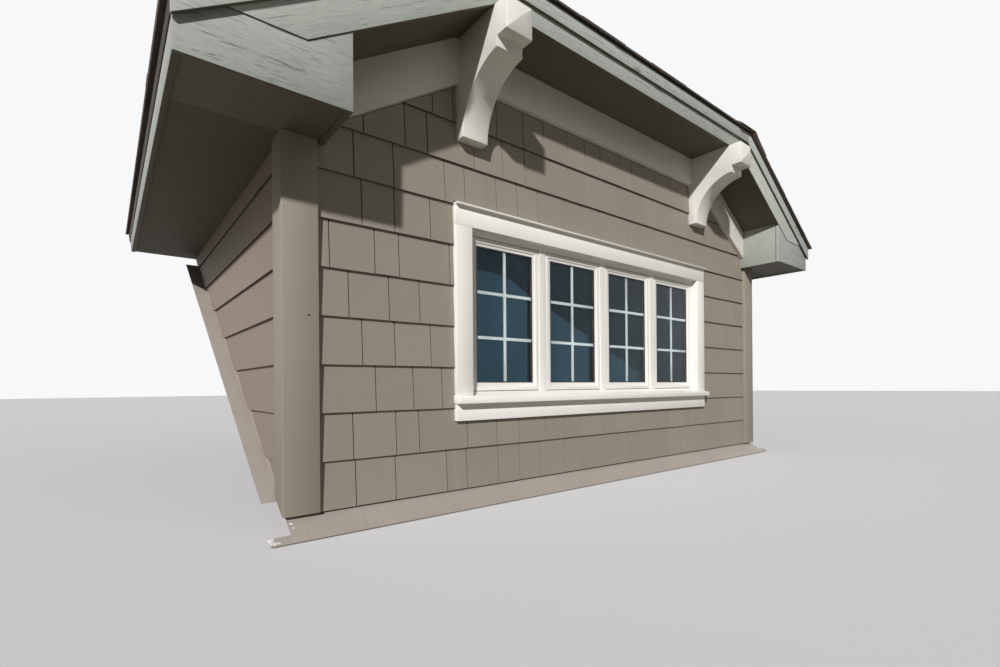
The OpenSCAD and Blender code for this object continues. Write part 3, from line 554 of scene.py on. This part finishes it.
def build(name, verts, faces, look):
    """A piece of the part from its points and faces."""
    mesh = bpy.data.meshes.new(name)
    mesh.from_pydata([tuple(v) for v in verts], [], faces)
    mesh.validate()
    bm = bmesh.new()
    bm.from_mesh(mesh)
    bmesh.ops.recalc_face_normals(bm, faces=bm.faces)
    bm.to_mesh(mesh)
    bm.free()
    obj = piece(name, mesh, look)
    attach(obj, "root")
    return obj


def prism(verts, faces, lower, upper):
    """Adds a closed prism between two rings of points that match one to one."""
    n, base = len(lower), len(verts)
    verts += list(lower) + list(upper)
    faces.append([base + i for i in reversed(range(n))])
    faces.append([base + n + i for i in range(n)])
    for i in range(n):
        j = (i + 1) % n
        faces.append([base + i, base + j, base + n + j, base + n + i])


def boxes(store, *spans):
    """Adds blocks between two corners, each given as x0, x1, y0, y1, z0, z1."""
    for x0, x1, y0, y1, z0, z1 in spans:
        low = [(x0, y0, z0), (x1, y0, z0), (x1, y0, z1), (x0, y0, z1)]
        prism(*store, low, [(x, y1, z) for x, _, z in low])


def clip(poly, a, b, c):
    """The part of a convex polygon where a * u + b * v <= c."""
    out = []
    for i, p in enumerate(poly):
        q = poly[(i + 1) % len(poly)]
        dp, dq = a * p[0] + b * p[1] - c, a * q[0] + b * q[1] - c
        if dp <= 0:
            out.append(p)
        if dp * dq < 0:
            t = dp / (dp - dq)
            out.append((p[0] + t * (q[0] - p[0]), p[1] + t * (q[1] - p[1])))
    return out


def area(poly):
    return 0.5 * sum(p[0] * q[1] - q[0] * p[1] for p, q in zip(poly, poly[1:] + poly[:1]))


def is_crumb(poly, least):
    """True for a cut-off rest with too small an area to keep."""
    return len(poly) < 3 or abs(area(poly)) <= least


# Sharp edges eased, as brushed paint leaves them. Faces that turn by less than FLAT are joined, edges
# over SHARP are eased, and the shading breaks at edges over CREASE.

EASE = 0.0018
VINYL_EASE = 0.0012
WELD = 1e-5
FLAT = math.radians(0.5)
SHARP = math.radians(15)
CREASE = math.radians(35)
EASED = ("bracket_left", "bracket_right", "head_casing", "drip_cap", "side_casings", "window_sill",
         "apron_board", "front_frieze", "rake_friezes", "corner_board_left", "corner_board_right",
         "return_left", "return_right", "front_fascia", "rake_fascia_left", "rake_fascia_right",
         "eave_fascias", "front_trim", "rake_trims", "eave_trims")
VINYL_EASED = ("window_frame", "window_sashes")


def bevel_sharp(bm, width):
    bmesh.ops.remove_doubles(bm, verts=bm.verts, dist=WELD)
    bmesh.ops.dissolve_limit(bm, angle_limit=FLAT, verts=bm.verts, edges=bm.edges)
    sharp = [e for e in bm.edges if len(e.link_faces) == 2 and e.calc_face_angle(0) > SHARP]
    bmesh.ops.bevel(bm, geom=sharp, offset=width, segments=2, affect="EDGES", profile=0.5,
                    clamp_overlap=True)


def softened(name, width):
    """A copy of a CAD node with eased edges, in the node's place."""
    mesh = NODES[name].data.copy()
    mesh.name = name + "_eased"
    bm = bmesh.new()
    bm.from_mesh(mesh)
    bevel_sharp(bm, width)
    bm.to_mesh(mesh)
    bm.free()
    mesh.shade_smooth()
    mesh.set_sharp_from_angle(angle=CREASE)
    obj = piece(name + "_eased", mesh, LOOKS[name])
    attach(obj, "root")
    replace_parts(obj, name)


for name in EASED:
    softened(name, EASE)
for name in VINYL_EASED:
    softened(name, VINYL_EASE)


# Shingle siding on the front. One panel holds eight shingles of these widths, and each row begins
# a panel at its own place, some rows with the panel turned end for end, as the photo shows. No joint
# lies nearer than LEAST_END to the end of the siding.

PANEL = (0.178, 0.104, 0.241, 0.165, 0.137, 0.174, 0.134, 0.129)
ROWS = ((-2.043, True), (-1.478, False), (-1.909, False), (-1.877, True), (-2.015, False),
        (-1.564, False), (-1.875, True), (-2.043, True), (-1.430, False), (-1.301, False))
SIDING_HOLES = ("side_casings", "head_casing", "drip_cap", "window_sill", "apron_board",
                "bracket_left", "bracket_right")
SIDING_CRUMB = 4e-5
LEAST_END = 0.023
FOOT_SPREAD = 0.0006
FACE_SPREAD = 0.0008
SIDING_BED = 0.0004


def row_joints(start, turned, end):
    """Places of the joints of one row, from left of -end to right of it."""
    widths = PANEL[::-1] if turned else PANEL
    x = start - sum(PANEL)
    joints = [x]
    while x < end:
        for wide in widths:
            x += wide
            joints.append(x)
    return [j for j in joints if -end < j < end]


def without(polys, x0, z0, x1, z1):
    """Convex polygons with a rectangle taken out."""
    out = []
    for p in polys:
        mid = clip(clip(p, 1, 0, x1), -1, 0, -x0)
        parts = [clip(p, 1, 0, x0), clip(p, -1, 0, -x1)]
        if len(mid) > 2:
            parts += [clip(mid, 0, 1, z0), clip(mid, 0, -1, -z1)]
        out += [q for q in parts if not is_crumb(q, SIDING_CRUMB)]
    return out


def siding_region(p):
    """The parts of a shingle that show: inside the corner boards, friezes and window, beside the
    brackets."""
    left = clip(clip(p, 1, 0, -INNER_X), 0, 1, SIDE_TOP)
    right = clip(clip(p, -1, 0, -INNER_X), 0, 1, SIDE_TOP)
    mid = clip(clip(p, 1, 0, INNER_X), -1, 0, INNER_X)
    mid = clip(clip(mid, SLOPE, 1, FRIEZE_LINE), -SLOPE, 1, FRIEZE_LINE)
    polys = [q for q in (left, mid, right) if len(q) > 2]
    for name in SIDING_HOLES:
        lo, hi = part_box(name)
        polys = without(polys, lo.x - GAP, lo.z - GAP, hi.x + GAP, hi.z + GAP)
    return polys


def siding_face(height):
    """Depth of a shingle's face at a height above the foot of its course."""
    return SIDING_Y + (SIDING_T - SIDING_HEAD_T) * height / COURSE


def siding_shingles():
    rng = random.Random(7)
    lo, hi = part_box("front_siding")
    verts, faces = [], []
    for k, (start, turned) in enumerate(ROWS):
        z0 = lo.z + k * COURSE
        z1 = hi.z if k == len(ROWS) - 1 else z0 + COURSE
        joints = row_joints(start, turned, hi.x - LEAST_END)
        ends = [-hi.x - JOINT / 2] + joints + [hi.x + JOINT / 2]
        for a, b in zip(ends, ends[1:]):
            drop = rng.uniform(-FOOT_SPREAD, FOOT_SPREAD)
            sunk = rng.uniform(0.0, FACE_SPREAD)
            left, right = a + JOINT / 2, b - JOINT / 2
            for p in siding_region([(left, z0), (right, z0), (right, z1), (left, z1)]):
                back = [(x, SHEATH_Y - SIDING_BED, z) for x, z in p]
                face = [(x, siding_face(z - z0) + sunk, z + (drop if z == z0 else 0)) for x, z in p]
                prism(verts, faces, back, face)
    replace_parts(build("siding_shingles", verts, faces, SIDING), "front_siding")


siding_shingles()


# Roof shingles: tabs of random width in courses, clipped to each slope. The first course starts at
# EAVE_V, past the deck's edge. A tab's foot stands TAB_TOP over the deck, and its head TAB_FALL lower.

EAVE_V = -0.0103
FAR_U = 4.5
TAB_TOP = 0.0068
TAB_FALL = 0.0030
TAB_BED = 0.0002
DOUBLE_TAB = 0.0022
TAB_WIDTHS = (0.10, 0.14, 0.18, 0.22, 0.26)
WIDTH_SPREAD = 0.01
START_SPREAD = 0.2
TAB_GAP = 0.001
TAB_CRUMB = 5e-5


def clip_all(tab, region):
    """The part of a tab inside every limit a * u + b * v <= c of a region."""
    for a, b, c in region:
        tab = clip(tab, a, b, c) if len(tab) > 2 else []
    return tab


def slope_tabs(name, node, place, normal, region, u0, u1, top, seed):
    """Tabs on one slope. place(u, v) is the point of the deck u along the eave and v up the slope."""
    rng = random.Random(seed)
    verts, faces = [], []
    v = EAVE_V
    while v < top:
        u = u0 - rng.uniform(0.0, START_SPREAD)
        while u < u1:
            wide = rng.choice(TAB_WIDTHS) + rng.uniform(-WIDTH_SPREAD, WIDTH_SPREAD)
            fat = rng.choice((0.0, 0.0, DOUBLE_TAB))
            left, right = u + TAB_GAP, u + wide - TAB_GAP
            tab = [(left, v), (right, v), (right, v + EXPOSURE), (left, v + EXPOSURE)]
            tab = clip_all(tab, region)
            if not is_crumb(tab, TAB_CRUMB):
                low = [place(a, b) + normal * (DECK_T + TAB_BED) for a, b in tab]
                rise = [TAB_TOP - TAB_FALL * (b - v) / EXPOSURE + fat for a, b in tab]
                up = [place(a, b) + normal * (DECK_T + h) for (a, b), h in zip(tab, rise)]
                prism(verts, faces, low, up)
            u += wide
        v += EXPOSURE
    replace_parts(build(name, verts, faces, SHINGLE), node)


def side_slope(side, seed):
    """u is y, and v runs up the slope from the eave. The limits are the front edge, the hip, the
    main roof and the ridge."""
    def place(u, v):
        x = EDGE_X - v * COS
        return Vector((side * x, u, APEX - SLOPE * x))
    name = "left" if side < 0 else "right"
    top = EDGE_X / COS
    edge_rise = APEX - SLOPE * EDGE_X - main_z(0) - SEAT_Z
    region = [
        (-1, 0, OVER - EDGE_Y),
        (-1, COS, EDGE_X - HIP_Y),
        (SLOPE, -SLOPE * COS, edge_rise),
        (0, 1, top),
    ]
    slope_tabs("roof_tabs_" + name, "shingles_" + name, place, Vector((side * SIN, 0, COS)), region,
               EDGE_Y - OVER, FAR_U, top, seed)


def front_slope(seed):
    """u is x, and v runs up the slope from the front eave. The limits are the two hips."""
    def place(u, v):
        y = EDGE_Y + v * COS
        return Vector((u, y, CLIP_TOP + SLOPE * (y - EDGE_Y)))
    region = [(1, COS, KNEE_X), (-1, COS, KNEE_X)]
    slope_tabs("roof_tabs_front", "shingles_front", place, Vector((0, -SIN, COS)), region,
               -KNEE_X - OVER, KNEE_X + OVER, KNEE_X / COS, seed)


side_slope(-1, 10)
side_slope(1, 12)
front_slope(23)


# Ridge and hip caps: bent tabs, each over the head of the one below. A cap reaches CAP_HALF down each
# slope and CAP_HEAD under the next one, and lies CAP_BED over the thickest tab. The first caps of a
# hip start before the knee and are cut at the front edge of the tabs.

CAP_HALF = 0.130
CAP_HEAD = 0.030
CAP_BED = 0.0005
CAP_BASE = DECK_T + TAB_TOP + DOUBLE_TAB + CAP_BED
CAP_TOP = 0.0054
CAP_FALL = 0.0034
CAP_T = 0.0022
LEAST_CAP = 0.02
HIP_START = -0.2


def cap_tab(start, along, wing, limits, s, s1):
    """Half a cap, s along its line and CAP_HALF out on its wing, inside the wing's limits."""
    tab = [(s, 0.0), (s1, 0.0), (s1, CAP_HALF), (s, CAP_HALF)]
    region = [(sign * along[axis], sign * wing[axis], sign * (value - start[axis]))
              for axis, sign, value in limits]
    return clip_all(tab, region)


def cap_run(verts, faces, start, end, wings, first=0.0):
    """A row of caps from start up to end. wings holds, for each side, the slope's normal and the
    limits (axis, sign, value) that the wing's points stay within."""
    along = (end - start).normalized()
    length = (end - start).length
    mid = (wings[0][0] + wings[1][0]).normalized()
    peak = mid / mid.dot(wings[0][0])
    s = first
    while s < length - LEAST_CAP:
        s1 = min(s + EXPOSURE + CAP_HEAD, length)
        for normal, limits in wings:
            wing = along.cross(normal)
            if wing.z > 0:
                wing = -wing
            tab = cap_tab(start, along, wing, limits, s, s1)
            if is_crumb(tab, TAB_CRUMB):
                continue
            low, up = [], []
            for a, b in tab:
                out = normal + (peak - normal) * (1 - b / CAP_HALF)
                high = CAP_BASE + CAP_TOP - CAP_FALL * (a - s) / (EXPOSURE + CAP_HEAD)
                low.append(start + along * a + wing * b + out * (high - CAP_T))
                up.append(start + along * a + wing * b + out * high)
            prism(verts, faces, low, up)
        s += EXPOSURE


def roof_caps():
    verts, faces = [], []
    front_edge = (1, -1, EDGE_Y - OVER)
    ridge = Vector((0, HIP_Y, APEX))
    far = Vector((0, (APEX - main_z(0)) / SLOPE - OVER, APEX))
    for side in (-1, 1):
        knee = Vector((side * KNEE_X, EDGE_Y, CLIP_TOP))
        front_wing = (Vector((0, -SIN, COS)), [front_edge, (0, -side, 0.0)])
        side_wing = (Vector((side * SIN, 0, COS)), [front_edge, (1, 1, HIP_Y)])
        cap_run(verts, faces, knee, ridge, (front_wing, side_wing), HIP_START)
    slopes = [(Vector((side * SIN, 0, COS)), [(2, -1, 0.0)]) for side in (-1, 1)]
    cap_run(verts, faces, ridge, far, slopes)
    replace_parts(build("cap_shingles", verts, faces, SHINGLE), "roof_caps")


roof_caps()


# Window panes, the bars between them and the gasket round each one. The front and back of bars and
# gaskets are measured from the face of the glass.

OPENING_W = 1.862
SASH_COUNT = 4
JAMB_W = 0.017
MULLION_W = 0.0505
STILE_W = 0.037
SASH_W = (OPENING_W - 2 * JAMB_W - (SASH_COUNT - 1) * MULLION_W) / SASH_COUNT
PANE_T = 0.004
BAR_W = 0.014
BAR_Y = 0.0045, 0.0105
GASKET_W = 0.006
GASKET_Y = -0.0015, -0.0001


def pane_ends():
    """Left and right edge of the glass of each sash."""
    lefts = [GLASS_LO.x + i * (SASH_W + MULLION_W) for i in range(SASH_COUNT)]
    return [(x, x + SASH_W - 2 * STILE_W) for x in lefts]


def panes(name, y0, y1, look):
    """One layer of glass in every sash."""
    store = [], []
    for x0, x1 in pane_ends():
        boxes(store, (x0, x1, y0, y1, GLASS_LO.z, GLASS_HI.z))
    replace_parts(build(name, *store, look), "window_glass")


def window_bars():
    """In each sash one upright bar from edge to edge, and two rows of level ones beside it."""
    store = [], []
    y0, y1 = GLASS_LO.y + BAR_Y[0], GLASS_LO.y + BAR_Y[1]
    third = (GLASS_HI.z - GLASS_LO.z) / 3
    for x0, x1 in pane_ends():
        a, b = (x0 + x1 - BAR_W) / 2, (x0 + x1 + BAR_W) / 2
        boxes(store, (a, b, y0, y1, GLASS_LO.z, GLASS_HI.z))
        for k in (1, 2):
            z = GLASS_LO.z + third * k
            z0, z1 = z - BAR_W / 2, z + BAR_W / 2
            boxes(store, (x0, a, y0, y1, z0, z1), (b, x1, y0, y1, z0, z1))
    obj = build("window_bars", *store, BAR_PAINT)
    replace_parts(obj, "window_glass")


def pane_gaskets():
    """A dark strip in front of the glass along each edge of a pane."""
    store = [], []
    y0, y1 = GLASS_LO.y + GASKET_Y[0], GLASS_LO.y + GASKET_Y[1]
    z0, z1 = GLASS_LO.z, GLASS_HI.z
    for x0, x1 in pane_ends():
        boxes(store, (x0, x0 + GASKET_W, y0, y1, z0, z1), (x1 - GASKET_W, x1, y0, y1, z0, z1))
        boxes(store, (x0, x1, y0, y1, z0, z0 + GASKET_W), (x0, x1, y0, y1, z1 - GASKET_W, z1))
    obj = build("pane_gaskets", *store, GASKET)
    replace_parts(obj, "window_glass")


panes("panes_outer", GLASS_LO.y, GLASS_LO.y + PANE_T, OUTER_GLASS)
panes("panes_inner", GLASS_HI.y - PANE_T, GLASS_HI.y, INNER_GLASS)
window_bars()
pane_gaskets()


# Flashing pieces along the cheeks, each lapped over the one below

STEP_LONG = 0.152
STEP_LAP = 0.030
STEP_RISE = 0.0014
STEP_T = 0.0007
WALL_GAP = 0.0003


def step_flashing():
    lo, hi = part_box("cheek_flashings")
    leg = hi.z - main_z(hi.y)
    verts, faces = [], []
    for side in (-1, 1):
        wall, rim = side * (SHEATH_X + WALL_GAP), side * hi.x
        near = wall + side * STEP_RISE
        y = lo.y
        while y < hi.y - STEP_LAP:
            y1 = min(y + STEP_LONG, hi.y)
            z, z1 = main_z(y) + STEP_RISE, main_z(y1)
            flange = [(wall, y, z), (rim, y, z), (rim, y1, z1), (wall, y1, z1)]
            prism(verts, faces, flange, [(a, b, c + STEP_T) for a, b, c in flange])
            upright = [(near, y, z), (wall, y1, z1), (wall, y1, z1 + leg), (near, y, z + leg)]
            prism(verts, faces, upright, [(a + side * STEP_T, b, c) for a, b, c in upright])
            y += STEP_LONG - STEP_LAP
    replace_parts(build("step_flashing", verts, faces, METAL), "cheek_flashings")


step_flashing()


# Sealant and nail heads. The spots are given as x, y and size on the apron flashing, and as y, z
# and size on the left cheek. APRON_WIDE, APRON_RISE and CHEEK_LONG are shares of a spot's size.

SECTORS = 10
RINGS = 3
APRON_SPOTS = ((-1.787, -0.149, 0.009), (-1.788, -0.138, 0.008), (-1.777, -0.152, 0.007),
               (-1.766, -0.153, 0.005), (-1.711, -0.089, 0.005), (-1.708, -0.106, 0.004))
CHEEK_SPOTS = ((0.036, 0.078, 0.008), (0.060, 0.098, 0.007), (0.090, 0.112, 0.006),
               (0.103, 0.128, 0.006))
APRON_NAIL = 1.780, -0.146
BOARD_NAIL = -1.644, 0.735
NAIL_HALF = 0.0045
NAIL_RISE = 0.0015
BOARD_NAIL_RISE = 0.001
NAIL_WOBBLE = 0.03
APRON_WIDE, APRON_RISE, APRON_WOBBLE = 1.3, 0.45, 0.22
CHEEK_LONG, CHEEK_WOBBLE = 1.5, 0.2
ACROSS = Vector((1, 0, 0))
UPRIGHT = Vector((0, 0, 1))
UP_FLANGE = Vector((0, COS, SIN))
OUT_OF_FLANGE = Vector((0, -SIN, COS))


def lump(store, centre, along, up, out, wobble, rng):
    """A rounded lump on a surface: along and up are its half sizes in the surface, out its height."""
    verts, faces = store
    base = len(verts)
    for ring in range(RINGS):
        turn = math.radians(90 * ring / RINGS)
        for k in range(SECTORS):
            a = 2 * math.pi * k / SECTORS
            size = math.cos(turn) * (1 + rng.uniform(-wobble, wobble))
            verts.append(centre + (along * math.cos(a) + up * math.sin(a)) * size + out * math.sin(turn))
    verts.append(centre + out)
    faces.append([base + k for k in range(SECTORS)])
    for k in range(SECTORS):
        j = (k + 1) % SECTORS
        for ring in range(RINGS - 1):
            low = base + ring * SECTORS
            faces.append([low + k, low + j, low + SECTORS + j, low + SECTORS + k])
        top = base + (RINGS - 1) * SECTORS
        faces.append([top + k, top + j, base + RINGS * SECTORS])


def on_flange(x, y):
    """A point of the apron flashing's upper face."""
    return Vector((x, y, flange_z(y)))


def sealant_spots(rng):
    store = [], []
    for x, y, size in APRON_SPOTS:
        wide, rise = ACROSS * size * APRON_WIDE, OUT_OF_FLANGE * size * APRON_RISE
        lump(store, on_flange(x, y), wide, UP_FLANGE * size, rise, APRON_WOBBLE, rng)
    for y, z, size in CHEEK_SPOTS:
        spot = Vector((-SHEATH_X - STEP_T, y, z))
        long, rise = UP_FLANGE * size * CHEEK_LONG, -ACROSS * size
        lump(store, spot, long, OUT_OF_FLANGE * size, rise, CHEEK_WOBBLE, rng)
    build("sealant_spots", *store, SEALANT)


def nail_heads(rng):
    store = [], []
    across = ACROSS * NAIL_HALF
    lump(store, on_flange(*APRON_NAIL), across, UP_FLANGE * NAIL_HALF, OUT_OF_FLANGE * NAIL_RISE,
         NAIL_WOBBLE, rng)
    x, z = BOARD_NAIL
    on_board = Vector((x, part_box("corner_board_left")[0].y, z))
    lump(store, on_board, across, UPRIGHT * NAIL_HALF, Vector((0, -BOARD_NAIL_RISE, 0)),
         NAIL_WOBBLE, rng)
    build("nail_heads", *store, NAIL)


RNG = random.Random(3)
sealant_spots(RNG)
nail_heads(RNG)


# Stage, light and camera

FLOOR_HALF = 40
FLOOR_DROP = 0.004
SUN_STRENGTH = 3.85
SUN_WIDTH = math.radians(2)
SUN_COLOUR = (1.0, 0.985, 1.0)
SUN_TURN = math.radians(49)
SUN_HEIGHT = math.radians(30.5)
BACKDROP = (0.93, 0.94, 0.95, 1)
FILL = (0.86, 0.93, 1.0, 1)
FILL_STRENGTH = 0.11

# The camera as fitted to the photo. The photo's sizes and the focal length are in pixels.

PHOTO_W = 1000
PHOTO_MIDDLE = 333.5
HORIZON = 386.4
FOCAL_LENGTH = 496.5
SENSOR_W = 36
CAMERA_AT = (-2.2127, -1.8795, 0.477)
YAW = math.radians(38.57)
ROLL = math.radians(0.46)
NEAREST, FARTHEST = 0.01, 200


def floor():
    z = CAD_BOX[0][2] - FLOOR_DROP
    s = FLOOR_HALF
    mesh = bpy.data.meshes.new("floor")
    mesh.from_pydata([(-s, -s, z), (s, -s, z), (s, s, z), (-s, s, z)], [], [(0, 1, 2, 3)])
    piece("floor", mesh, floor_paint())


def sunlight():
    sun = bpy.data.lights.new("sun", "SUN")
    sun.energy = SUN_STRENGTH
    sun.angle = SUN_WIDTH
    sun.color = SUN_COLOUR
    obj = bpy.data.objects.new("sun", sun)
    bpy.context.scene.collection.objects.link(obj)
    level = math.cos(SUN_HEIGHT)
    towards = Vector((-math.sin(SUN_TURN) * level, -math.cos(SUN_TURN) * level, math.sin(SUN_HEIGHT)))
    obj.rotation_mode = "QUATERNION"
    obj.rotation_quaternion = towards.to_track_quat("Z", "Y")


def background(tree, colour, strength):
    node = tree.nodes.new("ShaderNodeBackground")
    node.inputs["Color"].default_value = colour
    node.inputs["Strength"].default_value = strength
    return node.outputs[0]


def studio():
    """A pale backdrop where it is seen, and a weak blue fill for everything else."""
    world = bpy.data.worlds.new("studio")
    bpy.context.scene.world = world
    world.use_nodes = True
    tree = world.node_tree
    tree.nodes.clear()
    out = tree.nodes.new("ShaderNodeOutputWorld")
    mix = tree.nodes.new("ShaderNodeMixShader")
    tree.links.new(in_sight(tree), mix.inputs[0])
    tree.links.new(background(tree, FILL, FILL_STRENGTH), mix.inputs[1])
    tree.links.new(background(tree, BACKDROP, 1.0), mix.inputs[2])
    tree.links.new(mix.outputs[0], out.inputs[0])
    bpy.context.scene.view_settings.view_transform = "Standard"


def camera():
    cam = bpy.data.cameras.new("camera")
    cam.sensor_width = SENSOR_W
    cam.lens = FOCAL_LENGTH / PHOTO_W * SENSOR_W
    cam.shift_y = (HORIZON - PHOTO_MIDDLE) / PHOTO_W
    cam.clip_start, cam.clip_end = NEAREST, FARTHEST
    obj = bpy.data.objects.new("camera", cam)
    bpy.context.scene.collection.objects.link(obj)
    ahead = Vector((math.sin(YAW), math.cos(YAW), 0))
    across = Vector((math.cos(YAW), -math.sin(YAW), 0))
    down = Vector((0, 0, -1))
    right = across * math.cos(ROLL) + down * math.sin(ROLL)
    low = down * math.cos(ROLL) - across * math.sin(ROLL)
    turn = Matrix((right, -low, -ahead)).transposed()
    obj.matrix_world = Matrix.Translation(CAMERA_AT) @ turn.to_4x4()
    bpy.context.scene.camera = obj


floor()
sunlight()
studio()
camera()
